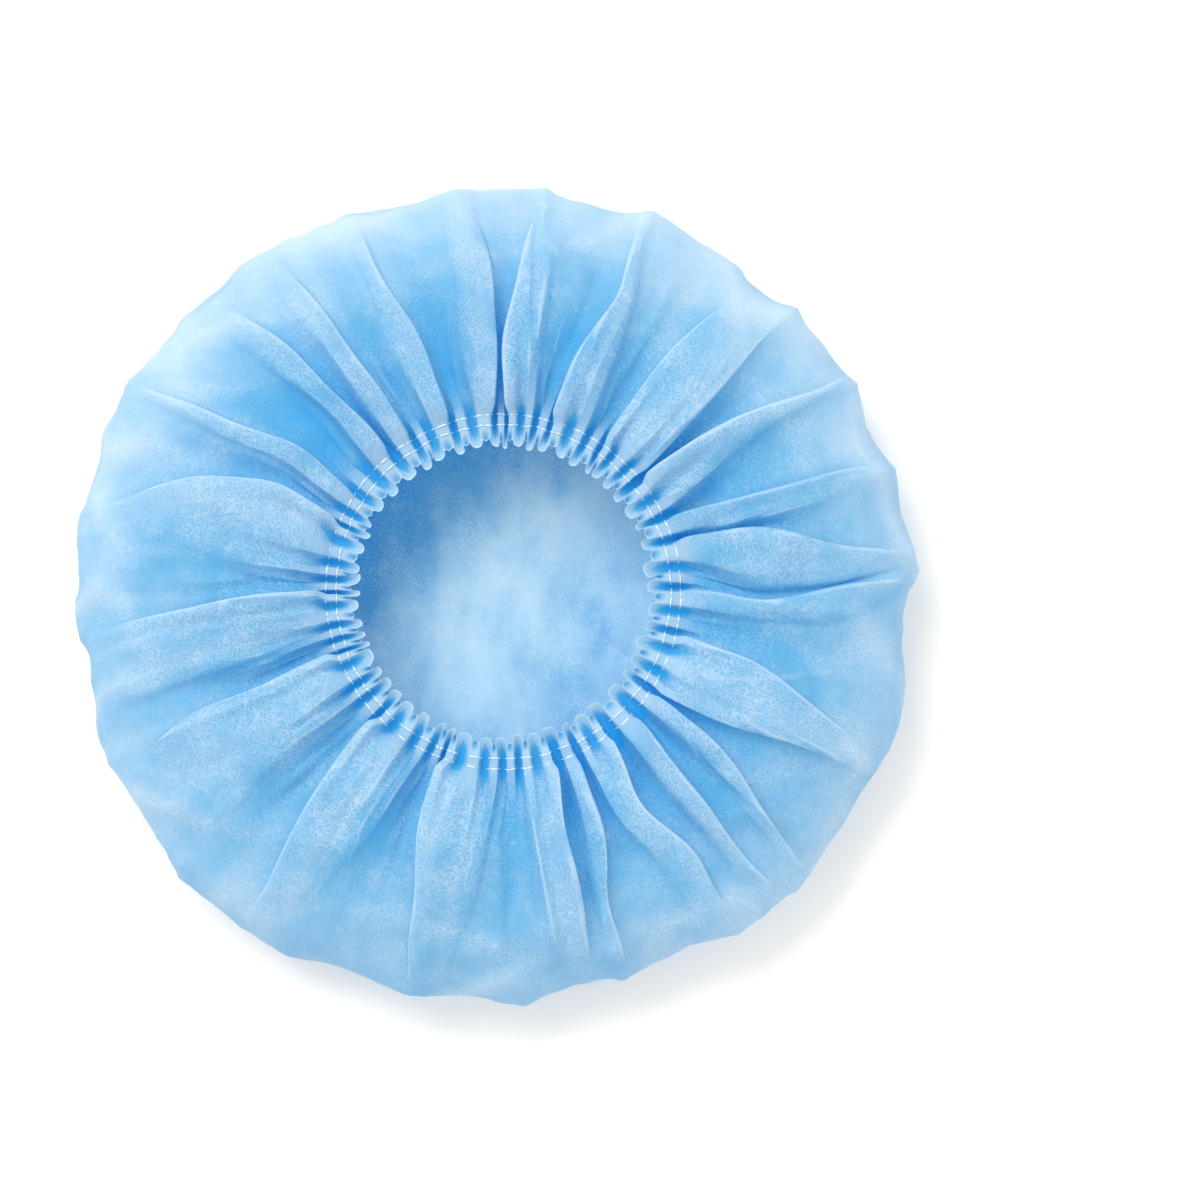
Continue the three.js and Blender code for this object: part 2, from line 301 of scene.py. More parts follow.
def column_angles(out, columns):
    """The plain angle in degrees of columns at each `out`, 0 at the seam to 1 at the rim: straight from
    station to station of the table's edges, and rounded off over CORNER_ROUNDING on both sides."""
    at_stations = np.array([np.interp(columns, segment_start, angles) for angles in edge_angles])
    stations = np.array(FOLD_STATIONS)
    shifts = np.linspace(-CORNER_ROUNDING, CORNER_ROUNDING, 9)
    total = 0
    for shift in shifts:
        place = np.clip(out + shift, stations[0], stations[-1])
        k = np.clip(np.searchsorted(stations, place, side="right") - 1, 0, len(stations) - 2)
        t = (place - stations[k]) / (stations[k + 1] - stations[k])
        total = total + (1 - t) * at_stations[k[:, 0]] + t * at_stations[k[:, 0] + 1]
    return total / len(shifts)


def rim_reach(degrees):
    """The rim's reach at every angle: a parabola from corner to corner through the reach halfway."""
    angle = np.array([c["angle"] for c in RIM_CORNERS] + [RIM_CORNERS[0]["angle"] + 360], float)
    reach = np.array([c["reach"] for c in RIM_CORNERS] + [RIM_CORNERS[0]["reach"]])
    between = np.array([c["between"] for c in RIM_CORNERS])
    turned = np.mod(degrees - angle[0], 360) + angle[0]
    k = np.clip(np.searchsorted(angle, turned, side="right") - 1, 0, len(RIM_CORNERS) - 1)
    t = (turned - angle[k]) / (angle[k + 1] - angle[k])
    straight = reach[k] + (reach[k + 1] - reach[k]) * t
    return straight + (between[k] - (reach[k] + reach[k + 1]) / 2) * 4 * t * (1 - t)


def crumple(points, wavelength, seed, octaves=(1.0, 0.53), waves=14):
    """Crumpled cloth, about -1 to 1, highest on its creases: plane waves of random direction are added
    up, and the sum is folded over where it passes through nought."""
    random = np.random.default_rng(seed)
    total = np.zeros(points.shape[:-1])
    for octave in octaves:
        direction = random.normal(size=(waves, 3))
        direction /= np.linalg.norm(direction, axis=1)[:, None]
        turn = random.uniform(0, 4 * math.pi, waves)
        along = points @ direction.T * (2 * math.pi / (wavelength * octave)) + turn
        total += octave * (1 - 1.6 * np.abs(np.sin(along / 2).mean(axis=-1) * math.sqrt(waves)))
    return total / sum(octaves)


# The rows along the cloth, closer together at the hem. What differs from row to row is kept as an array
# of one number for each row: `out` runs from 0 at the seam to 1 at the rim, `past_seam` from 0 at the
# inner seam to 1 at the cut edge, and `under` from 0 at the rim to 1 where the crown begins to lie flat.
ROW_SPACING = 0.0016
HEM_ROW_SPACING = 0.0009
HEM_LENGTH = 0.017
steps, mean_path = smooth_path(MEAN_PATH, ROW_SPACING, HEM_LENGTH, HEM_ROW_SPACING)
path_radius, path_height = mean_path[:, :1], mean_path[:, 1:]
along_path = np.gradient(mean_path, axis=0)
along_path /= np.linalg.norm(along_path, axis=1)[:, None]
path_normal = np.stack([along_path[:, 1], -along_path[:, 0]], axis=1)
rim_row = int(np.argmax(path_radius))
above_rim = np.arange(len(steps))[:, None] >= rim_row
out = np.where(above_rim, (path_radius - OUTER_SEAM) / (RIM_RADIUS - OUTER_SEAM), 1.0)
out_of_seam = np.clip(out, 0, None)
past_seam = np.clip((INNER_SEAM - path_radius) / FRILL_LENGTH, 0, None) * above_rim
under = np.where(above_rim, 0, (RIM_RADIUS - path_radius) / (RIM_RADIUS - CROWN_FLAT_RADIUS))

# How much of each form a row shows, and how full the folds are: they are round and steep at the hem and
# flatter towards the rim. The rim's corners fade on both sides of the rim.
above_crown = np.clip(1 - under, 0, 1) ** 2
fold_share = np.interp(
    out, [0, 0.04, 0.1, 0.3, 0.5, 0.7, 0.86, 1], [0.2, 0.6, 0.95, 1, 0.88, 0.62, 0.34, 0.05],
)
fold_share *= above_crown * np.clip(1 - 1.2 * past_seam, 0, 1)
valley_share = np.interp(out, [0, 0.08, 0.2, 0.5, 0.8, 1], [0.0, 0.7, 1, 0.8, 0.35, 0.0]) * above_crown
roundness = np.interp(out, [0, 0.3, 0.6, 0.9], [3.6, 3.8, 3.0, 1.6])
flatness = np.interp(out, [0, 0.5, 1], [0.36, 0.45, 0.8])
fold_undercut = np.interp(out, [0, 0.06, 0.45, 0.7, 0.9], [0.4, 1.0, 0.9, 0.6, 0.15])
outline_over = np.interp(
    path_radius, [0.0723, 0.0875, 0.1044, 0.1213, 0.1347, 0.1432], [0, 0.1, 0.25, 0.55, 0.85, 1],
)
outline_under = np.interp(path_radius, [CROWN_FLAT_RADIUS, 0.116, 0.1348, 0.1442], [0, 0.35, 0.8, 1])
outline_share = np.where(above_rim, outline_over, outline_under)
rim_near = np.exp(-((out - 1) / 0.28) ** 2) * np.clip(1 - under * 1.2, 0, 1)
on_top = np.interp(out, [0.03, 0.2, 1], [0, 1, 0.6]) * (under == 0)
crown = np.clip(under, 0, 1) ** 2

# The ruffles, drawn together by the elastic. Past the seam their troughs open into little tubes.
RUFFLE_HEIGHT = 0.0018
TUBE_MOUTH_DEPTH = 0.0026
chance = np.random.default_rng(21)
half_ruffles = np.arange(0, COLUMNS + 1, COLUMNS_A_RUFFLE / 2)


def by_chance(draw, first, second):
    """A number for every column: one is drawn for each half ruffle, and it runs straight between them."""
    return np.interp(column, half_ruffles, draw(first, second, len(half_ruffles)))


ruffle_reach = by_chance(chance.uniform, 0.12, 0.32)
ruffle_size = by_chance(chance.uniform, 0.8, 1.2)
frill_reach = by_chance(chance.normal, 0, 0.0008)
frill_turn = by_chance(chance.normal, 0, 0.6)
ruffle_share = np.exp(-(out_of_seam / ruffle_reach) ** 1.6) * ruffle_size
ruffle_share *= (1 - 0.5 * np.clip(past_seam, 0, 1.2)) * (under == 0)
ruffle_undercut = 1.1 * np.clip(ruffle_share, 0, 1)
toward_trough = np.where(ruffles_here > 0, (1 + np.cos(phase)) / 2, 1.0)
trough_narrowing = np.interp(past_seam, [0, 0.4, 1], [3.4, 2.2, 1.0]) + 28 * np.clip(out, 0, 0.2)
ruffle_wave = 1 - 2 * toward_trough ** trough_narrowing
tube_mouth = np.clip((past_seam - 0.45) / 0.4, 0, 1) * np.exp(-(toward_trough / 0.09) ** 1.2)

# The folds: (1 - |across| ^ roundness) ^ flatness from edge to edge, lower on the soft side. The
# overlapping side is pushed out past its edge, and the edges wander a little.
VALLEY_DEPTH = 0.0036
SOFT_SIDE_HEIGHT = 0.2
LEAN_SLOPE = 0.8
EDGE_WANDER = 0.25
degrees = column_angles(out, column)
first_edge = column_angles(out, segment_start[segment])
last_edge = column_angles(out, segment_start[segment + 1])
half_width = (last_edge - first_edge) / 2
lean = fold_column("lean")
from_soft_side = np.clip((1 + across * np.sign(lean)) / 1.5, 0, 1)
tube = (1 - np.abs(across) ** roundness) ** flatness
tube = tube * (SOFT_SIDE_HEIGHT + (1 - SOFT_SIDE_HEIGHT) * from_soft_side)
fold_height = FOLD_HEIGHT * fold_column("height") * fold_share * tube * in_fold
valley_depth = VALLEY_DEPTH * valley_share * (1 - across ** 2) * ~in_fold
stand_off = fold_height - valley_depth + RUFFLE_HEIGHT * ruffle_share * ruffle_wave
stand_off -= TUBE_MOUTH_DEPTH * tube_mouth
degrees = degrees + in_fold * half_width * fold_undercut * from_soft_side * across * (1 - across ** 2)
degrees = degrees + np.degrees(lean * LEAN_SLOPE * fold_height / np.maximum(path_radius, 0.04))
edge_turns = chance.uniform(0, 1, len(segment_start))
edge_turns[-1] = edge_turns[0]
wander = np.sin(2 * math.pi * (1.9 * out + np.interp(column, segment_start, edge_turns)))
degrees = degrees + EDGE_WANDER * wander * (np.clip(out / 0.2, 0, 1) * np.clip((1 - out) / 0.2, 0, 1))

# The ruffles sway: they bulge past their own troughs, most at the frill's lip, and turn by chance
half_ruffle = 2 * half_width / np.maximum(ruffles_here, 1) / (2 * math.pi)
lip = np.clip((past_seam - 0.3) / 0.7, 0, 1) ** 2
ruffle_sway = ruffle_undercut / 2 * np.sin(2 * phase) * (1 + 0.5 * lip)
ruffle_sway += (0.05 + 0.7 * lip) * np.clip(ruffle_undercut, 0, 1) * np.sin(phase)
degrees = degrees + half_ruffle * ruffle_sway * (ruffles_here > 0)
degrees = degrees + frill_turn * np.clip(past_seam, 0, 2)

# Long fine creases that run out from the gathers at chance places
CREASES = 150
CREASE_HEIGHT = 0.0014
for centre, slant, width, start, end, rise in zip(
    chance.uniform(0, 360, CREASES),
    chance.uniform(-4, 4, CREASES),
    chance.uniform(0.5, 1.3, CREASES),
    chance.uniform(0.0, 0.4, CREASES),
    chance.uniform(0.3, 1.0, CREASES),
    chance.uniform(-CREASE_HEIGHT, CREASE_HEIGHT, CREASES),
):
    off_line = (degrees - centre - slant * out + 180) % 360 - 180
    reach = np.clip((out - start) / 0.1, 0, 1) * np.clip((end - out) / 0.15, 0, 1) * (under == 0)
    stand_off += rise * reach * np.exp(-(off_line / width) ** 2)

# The crumples: soft ones at the rim and on top, long ones drawn out from the gathers, and fine ones
RIM_CRUMPLE = 0.0011
TOP_CRUMPLE = 0.0012
FINE_CRUMPLE = 0.0005
LONG_CREASE = 0.0018
RIM_CREASE = 0.001
GATHERED_RADIUS = 0.09
RADIAL_STRETCH = 0.16
radians = np.radians(degrees)
radius = path_radius * (1 + outline_share * (rim_reach(degrees) - 1))
plain_height = np.broadcast_to(path_height, radius.shape)
plain = np.stack([radius * np.cos(radians), radius * np.sin(radians), plain_height], axis=2)
drawn_out = np.stack(
    [GATHERED_RADIUS * np.cos(radians), GATHERED_RADIUS * np.sin(radians), RADIAL_STRETCH * radius], axis=2,
)
long_creases = crumple(drawn_out, wavelength=0.022, seed=14, octaves=(1.0,))
rim_creases = crumple(plain, wavelength=0.026, seed=9, octaves=(1.0,))
crown_creases = crumple(plain * [1.0, 0.55, 1.0], wavelength=0.042, seed=17)
stand_off += RIM_CRUMPLE * rim_near * crumple(plain, wavelength=0.032, seed=5)
stand_off += TOP_CRUMPLE * on_top * crumple(plain, wavelength=0.024, seed=8)
stand_off += LONG_CREASE * on_top * long_creases
stand_off += FINE_CRUMPLE * (rim_near + 0.5 * on_top) * crumple(plain, wavelength=0.012, seed=6)
stand_off += RIM_CREASE * rim_near * rim_creases

# The sheet: each point of the mean path moved off it by `stand_off`, and the frill's crests drawn in
# and its troughs let out along the path
CROWN_CRUMPLE = 0.0014
FRILL_UNEVENNESS = 0.0017
radius = radius + path_normal[:, :1] * stand_off
height = path_height + path_normal[:, 1:] * stand_off + FLOOR_GAP
height += CROWN_CRUMPLE * crown * np.clip(crown_creases + 0.3, 0, 2)
frill_longer = (frill_reach + FRILL_UNEVENNESS * (2 * toward_trough - 1)) * past_seam
radius += along_path[:, :1] * frill_longer
height += along_path[:, 1:] * frill_longer
height = np.maximum(height, FLOOR_GAP)
sheet = np.stack([radius * np.cos(radians) + MOUTH[0], radius * np.sin(radians) + MOUTH[1], height], axis=2)

# The faces: every column from the frill to just under the rim, every second one below it, every
# fourth on the crown, and a fan in the middle
half_row = int(np.argmax(path_height > 0.012))
quarter_row = int(np.argmax(path_radius > CROWN_FLAT_RADIUS))


def columns_apart(row):
    """How many columns lie between the points of a row that the faces use."""
    return 4 if row < quarter_row else 2 if row < half_row else 1


def ring(step):
    """The columns of a ring that keeps every `step`-th one, and each one's neighbour."""
    here = np.arange(0, COLUMNS, step)
    return here, np.roll(here, -1)


def band(lower, upper, step):
    """Quads between two rows that keep the same columns, facing out of the cloth's outer side."""
    here, there = ring(step)
    low, up = lower * COLUMNS, upper * COLUMNS
    return np.stack([low + there, up + there, up + here, low + here], 1)


def halving_band(lower, upper, step):
    """Triangles from a row with every `step`-th column below to one with twice as many above."""
    here, there = ring(step)
    middle = here + step // 2
    low, up = lower * COLUMNS, upper * COLUMNS
    return np.concatenate([
        np.stack([low + here, up + middle, up + here], 1),
        np.stack([low + here, low + there, up + middle], 1),
        np.stack([low + there, up + there, up + middle], 1),
    ])


faces = []
faces_on_top = []
for row in range(1, len(steps) - 1):
    step = columns_apart(row)
    between_rows = band if step == columns_apart(row + 1) else halving_band
    faces.append(between_rows(row, row + 1, step))
    faces_on_top.append(row >= rim_row)
here, there = ring(columns_apart(1))
pole = len(steps) * COLUMNS
faces.append(np.stack([np.full_like(here, pole), COLUMNS + there, COLUMNS + here], 1))
faces_on_top.append(False)
pole_height = height[1, ::columns_apart(1)].mean()
points = np.vstack([sheet.reshape(-1, 3), [[MOUTH[0], MOUTH[1], pole_height]]])
used = np.unique(np.concatenate([part.ravel() for part in faces]))
renumber = np.zeros(len(points), int)
renumber[used] = np.arange(len(used))
cap = mesh_object("cap_cloth", points[used], [renumber[part] for part in faces])

# How sharply the cloth bends across its folds: 1 on a crest of SHARP_BEND_RADIUS or on a sharp crease, and
# -1 in a valley as sharp. The long creases on top and the rim's creases are set high too, so that the
# material paints pale highlights and glints on all of them.
SHARP_BEND_RADIUS = 0.0024
step_before, step_after = sheet - np.roll(sheet, 1, axis=1), np.roll(sheet, -1, axis=1) - sheet
outward = np.cross(step_before + step_after, np.gradient(sheet, axis=0))
outward /= np.maximum(np.linalg.norm(outward, axis=2), 1e-12)[:, :, None]
bend_and_glint = -((step_after - step_before) * outward).sum(2) / np.maximum((step_after * step_after).sum(2), 1e-9)
bend_and_glint = np.clip(bend_and_glint * SHARP_BEND_RADIUS, -1, 1)
bend_and_glint = (bend_and_glint + np.roll(bend_and_glint, 1, axis=1) + np.roll(bend_and_glint, -1, axis=1)) / 3
# Painted glints: the long creases on top and the rim's creases count as sharp crests
bend_and_glint = np.maximum(bend_and_glint, 0.9 * on_top * np.clip((long_creases - 0.8) / 0.2, 0, 1))
bend_and_glint = np.maximum(bend_and_glint, rim_near * np.clip((rim_creases - 0.72) / 0.28, 0, 1))
from_edge = (steps[-1] - steps)[:, None] + np.zeros(COLUMNS)


def keep_attribute(obj, name, values):
    """Values of the whole grid, and their mean next to the pole for the pole, as numbers on the mesh."""
    attribute = obj.data.attributes.new(name, "FLOAT", "POINT")
    with_pole = np.append(values.ravel(), values[1].mean())
    attribute.data.foreach_set("value", with_pole[used].astype(np.float32))


# How deep the cloth's blue is, first along the rows alone: partly how much cloth lies over itself, from
# below 0 for one sheer layer to 1 deep in the gathers, and partly painted shade. On the crown the hem's
# shadow is painted as a dark crescent on the side towards the upper left, at the angle given below.
HEM_SHADOW_TOWARDS = 2.3
seam_near = np.exp(-(out_of_seam / 0.12) ** 2) * (under == 0)
layers_and_shade = np.interp(out, [0, 0.12, 0.4, 0.75, 1], [0.28, 0.4, 0.41, 0.27, 0.0]) * np.ones(COLUMNS)
layers_and_shade = np.where(under > 0, 0.1 * under - 0.27 * crown, layers_and_shade)
brushed = crumple(plain * [1.0, 0.4, 1.0], wavelength=0.013, seed=43)
brushed += 0.6 * crumple(plain * [1.0, 0.5, 1.0], wavelength=0.006, seed=44)
hem_shadow = plain @ [math.cos(HEM_SHADOW_TOWARDS), math.sin(HEM_SHADOW_TOWARDS), 0]
hem_shadow = np.clip((hem_shadow - 0.017) / 0.034, 0, 1)
layers_and_shade -= 0.12 * crown * np.clip(crown_creases, -1, 1)
layers_and_shade -= 0.13 * crown * brushed
# Painted shade: the hem's shadow, a dark crescent on the crown
layers_and_shade += 0.7 * crown * hem_shadow
# Painted shade: the crown deeper towards its edge, under the hem
layers_and_shade += 0.2 * crown * np.clip((path_radius - 0.035) / 0.03, 0, 1)

# The folds' tops are paler and the valleys deeper, partly from how much cloth lies in them and partly as
# painted light and shade, in streaks that run out from the gathers. The rim is paler on its creases as
# painted glints, and paler towards +Y and deeper towards -Y as painted light and shade.
streaks = crumple(drawn_out, wavelength=0.013, seed=51)
layers_and_shade -= 0.35 * fold_height / FOLD_HEIGHT - 0.14 * fold_share * in_fold
layers_and_shade -= 0.13 * on_top * streaks
layers_and_shade += np.interp(out, [0, 0.35, 0.8], [0.42, 0.18, 0.0]) * valley_depth / VALLEY_DEPTH
layers_and_shade -= 0.25 * rim_near * np.clip(rim_creases, 0, 1)
# Painted light and shade: the rim paler towards +Y and deeper towards -Y
layers_and_shade -= 0.12 * rim_near * np.sin(radians)

# At the hem the ruffles' troughs are narrow deep notches, which taper both ways from the seam; they and the
# concave bends near the seam are painted deeper, partly bunched cloth and partly painted shade. Their
# crests are paler, partly sheer cloth and partly painted light, and so is the frill, but the mouths of its
# tubes are painted dark as painted shade.
notch_reach = by_chance(chance.uniform, 0.05, 0.13)
taper = np.where(past_seam > 0, 1 - past_seam / 0.7, 1 - out_of_seam / notch_reach)
notch = np.clip((0.19 * taper - (1 - toward_trough)) / 0.1, 0, 1) * above_rim
layers_and_shade += 0.7 * notch
# Painted shade in the tubes' mouths; the frill paler, partly as painted light
layers_and_shade += 0.9 * tube_mouth - 0.3 * np.clip(1.2 * past_seam, 0, 1)
layers_and_shade += 0.2 * seam_near * np.clip(-bend_and_glint, 0, 1)
layers_and_shade -= 0.25 * seam_near * np.clip(1 - 2 * toward_trough, 0, 1)

# How much the fibres stand out: most on the folds' tops and the rim's creases, where the pale fibres are
# painted glints, little at the hem and in the crown's painted shadow
fibre_relief_and_glint = np.clip(0.3 + 0.65 * fold_height / FOLD_HEIGHT + 0.08 * on_top, 0, 1)
# Painted glints: pale fibres on the rim's creases
fibre_relief_and_glint += 0.9 * rim_near * np.clip(rim_creases, 0, 1) ** 2
fibre_relief_and_glint += 0.2 * on_top * streaks
fibre_relief_and_glint += crown * (0.5 - 0.4 * hem_shadow)
fibre_relief_and_glint *= np.clip(1 - past_seam, 0.25, 1) * (1 - 0.8 * notch)

keep_attribute(cap, "bend_highlight", bend_and_glint)
keep_attribute(cap, "from_cut_edge", from_edge)
keep_attribute(cap, "cloth_depth_and_shade", np.clip(layers_and_shade, -0.6, 1))
keep_attribute(cap, "fibre_relief_and_glint", np.clip(fibre_relief_and_glint, 0, 1.4))

# The cloth's UV map, in metres: one round island for the cloth from the rim in to the frill and one for
# the crown's side. The angle follows the length of cloth round the mouth, the radius that along it.
CROWN_ISLAND = (0.52, 0.21)
INNERMOST_RADIUS = 0.03
round_length = np.linalg.norm(step_after, axis=2)
whole_round = np.maximum(round_length.sum(axis=1), 1e-9)[:, None]
cloth_turn = 2 * math.pi * ((np.cumsum(round_length, axis=1) - round_length) / whole_round)
turned = np.stack([np.cos(cloth_turn), np.sin(cloth_turn)], axis=2)
seam_step = steps[int(np.argmax(past_seam > 0)) - 1]
top_radius = np.maximum(GATHERED_RADIUS + seam_step - steps, INNERMOST_RADIUS)
top_map = np.vstack([(top_radius[:, None, None] * turned).reshape(-1, 2), [[0, 0]]])
crown_map = np.vstack([(steps[:, None, None] * turned).reshape(-1, 2), [[0, 0]]]) + CROWN_ISLAND
corner_points = np.concatenate([part.ravel() for part in faces])
corner_on_top = np.repeat(faces_on_top, [part.size for part in faces])
cloth_map = cap.data.uv_layers.new(name="cloth_map")
corner_map = np.where(corner_on_top[:, None], top_map[corner_points], crown_map[corner_points])
cloth_map.data.foreach_set("uv", corner_map.astype(np.float32).ravel())


# The sizes of the fibre pattern in millimetres, and how far the curls shift it in metres
NET_SIZE = 1.5
STRAND_SIZE = 3.4
CLOUD_SIZE = 18
CURL_SIZE = 2.6
CURL_SHIFT = 0.0024


def spunbond_polypropylene():
    """Thermally bonded spunbond cloth of 14 g a square metre: fine curly fibres at random over a sheer
    ground, which is the deeper blue the more cloth lies over itself and where shade is painted into it;
    sharp bends carry painted highlights, and cut edges go pale.
    The fibres are drawn 1.5 to 3.4 mm apart, far coarser than the real ones, so that they show."""
    tree, output, material = new_material("spunbond_polypropylene")
    uv = add_node(tree, "ShaderNodeUVMap", {"uv_map": "cloth_map"})
    bends = add_node(tree, "ShaderNodeAttribute", {"attribute_name": "bend_highlight"})
    edge = add_node(tree, "ShaderNodeAttribute", {"attribute_name": "from_cut_edge"})
    layers_and_shade = add_node(tree, "ShaderNodeAttribute", {"attribute_name": "cloth_depth_and_shade"})
    relief_and_glint = add_node(tree, "ShaderNodeAttribute", {"attribute_name": "fibre_relief_and_glint"})
    curl = add_node(
        tree, "ShaderNodeTexNoise", {"noise_dimensions": "2D"},
        {"Scale": 1000 / CURL_SIZE, "Detail": 0.0},
        {"Vector": uv.outputs["UV"]},
    )
    curled = add_node(
        tree, "ShaderNodeVectorMath", {"operation": "MULTIPLY_ADD"},
        {1: (CURL_SHIFT, CURL_SHIFT, 0)},
        {0: curl.outputs["Color"], 2: uv.outputs["UV"]},
    )
    net = add_node(
        tree, "ShaderNodeTexVoronoi", {"voronoi_dimensions": "2D", "feature": "DISTANCE_TO_EDGE"},
        {"Scale": 1000 / NET_SIZE},
        {"Vector": curled.outputs[0]},
    )
    net_line = add_node(
        tree, "ShaderNodeMapRange",
        inputs={"From Min": 0.15, "From Max": 0.03, "To Min": 0.0, "To Max": 1.0},
        links={"Value": net.outputs["Distance"]},
    )
    strand = add_node(
        tree, "ShaderNodeTexNoise", {"noise_dimensions": "2D"},
        {"Scale": 1000 / STRAND_SIZE, "Detail": 1.0},
        {"Vector": curled.outputs[0]},
    )
    ridge = add_node(
        tree, "ShaderNodeMath", {"operation": "SUBTRACT"}, {1: 0.5}, {0: strand.outputs["Fac"]},
    )
    ridge = add_node(tree, "ShaderNodeMath", {"operation": "ABSOLUTE"}, links={0: ridge.outputs[0]})
    strand_line = add_node(
        tree, "ShaderNodeMapRange",
        inputs={"From Min": 0.04, "From Max": 0.01, "To Min": 0.0, "To Max": 1.0},
        links={"Value": ridge.outputs[0]},
    )
    fibres = add_node(
        tree, "ShaderNodeMath", {"operation": "MAXIMUM"},
        links={0: net_line.outputs[0], 1: strand_line.outputs[0]},
    )
    clouds = add_node(
        tree, "ShaderNodeTexNoise", {"noise_dimensions": "2D"},
        {"Scale": 1000 / CLOUD_SIZE, "Detail": 2.0, "Roughness": 0.6},
        {"Vector": uv.outputs["UV"]},
    )
    patches = add_node(
        tree, "ShaderNodeMapRange",
        inputs={"From Min": 0.3, "From Max": 0.62, "To Min": 0.25, "To Max": 0.7},
        links={"Value": clouds.outputs["Fac"]},
    )
    shown = add_node(
        tree, "ShaderNodeMath", {"operation": "MULTIPLY"},
        links={0: patches.outputs[0], 1: relief_and_glint.outputs["Fac"]},
    )
    fibre_strength = add_node(
        tree, "ShaderNodeMath", {"operation": "MULTIPLY"},
        links={0: fibres.outputs[0], 1: shown.outputs[0]},
    )
    unevenness = add_node(
        tree, "ShaderNodeMath", {"operation": "MULTIPLY_ADD"},
        {1: -0.3},
        {0: clouds.outputs["Fac"], 2: layers_and_shade.outputs["Fac"]},
    )
    depth = add_node(
        tree, "ShaderNodeMapRange",
        inputs={"From Min": -0.75, "From Max": 0.85},
        links={"Value": unevenness.outputs[0]},
    )
    ground = add_node(tree, "ShaderNodeValToRGB", links={"Fac": depth.outputs[0]})
    stops = ground.color_ramp.elements
    for place, colour in [(0.25, "d3ebf8"), (0.65, "78c9ed")]:
        stops.new(place).color = linear(colour)
    stops[0].color = linear("f2fafe")
    stops[-1].color = linear("3cbff2")
    body = add_node(
        tree, "ShaderNodeMix", {"data_type": "RGBA"},
        {7: linear("e4f5fd")},
        {0: fibre_strength.outputs[0], 6: ground.outputs["Color"]},
    )
    # Painted highlight: sharp crests and creases go pale
    pale = add_node(
        tree, "ShaderNodeMapRange",
        inputs={"From Min": 0.6, "From Max": 1.0, "To Max": 0.65},
        links={"Value": bends.outputs["Fac"]},
    )
    cut = add_node(
        tree, "ShaderNodeMapRange",
        inputs={"From Min": 0.0009, "From Max": 0.0003, "To Max": 1.0},
        links={"Value": edge.outputs["Fac"]},
    )
    highlight_and_cut_edge = add_node(
        tree, "ShaderNodeMath", {"operation": "MAXIMUM"}, links={0: pale.outputs[0], 1: cut.outputs[0]},
    )
    coloured = add_node(
        tree, "ShaderNodeMix", {"data_type": "RGBA"},
        {7: linear("e2f4fe")},
        {0: highlight_and_cut_edge.outputs[0], 6: body.outputs[2]},
    )
    face = add_node(
        tree, "ShaderNodeBsdfPrincipled",
        inputs={"Roughness": 0.6, "Specular IOR Level": 0.2, "IOR": 1.49},
        links={"Base Color": coloured.outputs[2]},
    )
    filtered = add_node(
        tree, "ShaderNodeGamma", inputs={"Gamma": 1.6}, links={"Color": coloured.outputs[2]},
    )
    through = add_node(tree, "ShaderNodeBsdfTranslucent", links={"Color": filtered.outputs[0]})
    cloth = add_node(
        tree, "ShaderNodeMixShader", inputs={0: 0.5}, links={1: face.outputs[0], 2: through.outputs[0]},
    )
    tree.links.new(cloth.outputs[0], output.inputs["Surface"])
    return material


cap.data.materials.append(spunbond_polypropylene())
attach(cap, "root")
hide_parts("cap_sheet")


# The elastic: a flat covered rubber tape, stretched while it is sewn under the hem, which draws the
# mouth in. It lies under the gathers between the two rows of stitches, and is ribbed lengthwise.
ELASTIC_THICKNESS = elastic_high[2] - elastic_low[2]
RIB_POINTS = 11
RIB_DEPTH = 0.18
TAPE_STEPS = 720


def tube_along(path, across, up, profile):
    """A tube: a profile of (across, up) offsets carried along an array of path points."""
    sideways = across[:, None, :] * profile[None, :, :1]
    return path[:, None, :] + sideways + up[:, None, :] * profile[None, :, 1:]


def wrapped_faces(rows, columns):
    """Quads of a grid whose rows and columns both wrap round."""
    r = np.arange(rows)[:, None]
    c = np.arange(columns)[None, :]
    r_next, c_next = (r + 1) % rows, (c + 1) % columns
    corners = [(r, c), (r_next, c), (r_next, c_next), (r, c_next)]
    return np.stack([at_row * columns + at_column for at_row, at_column in corners], 2).reshape(-1, 4)


turn = np.linspace(0, 2 * math.pi, TAPE_STEPS, endpoint=False)
outwards = np.stack([np.cos(turn), np.sin(turn), np.zeros(TAPE_STEPS)], axis=1)
upwards = np.tile([0.0, 0.0, 1.0], (TAPE_STEPS, 1))
ribs = np.linspace(-1, 1, RIB_POINTS)
rib_height = 1 - RIB_DEPTH * (np.arange(RIB_POINTS) % 2)
top_side = np.stack([ribs * ELASTIC_WIDTH / 2, rib_height * ELASTIC_THICKNESS / 2], axis=1)
tape_profile = np.vstack([top_side, top_side[::-1] * [1, -1]])[::-1]
tape_middle = [*MOUTH, (elastic_low[2] + elastic_high[2]) / 2]
tape = mesh_object(
    "elastic_tape",
    tube_along(outwards * (INNER_SEAM + OUTER_SEAM) / 2 + tape_middle, outwards, upwards, tape_profile),
    [wrapped_faces(TAPE_STEPS, len(tape_profile))],
)


# The size of the elastic's weave in millimetres
WEAVE_SIZE = 0.5


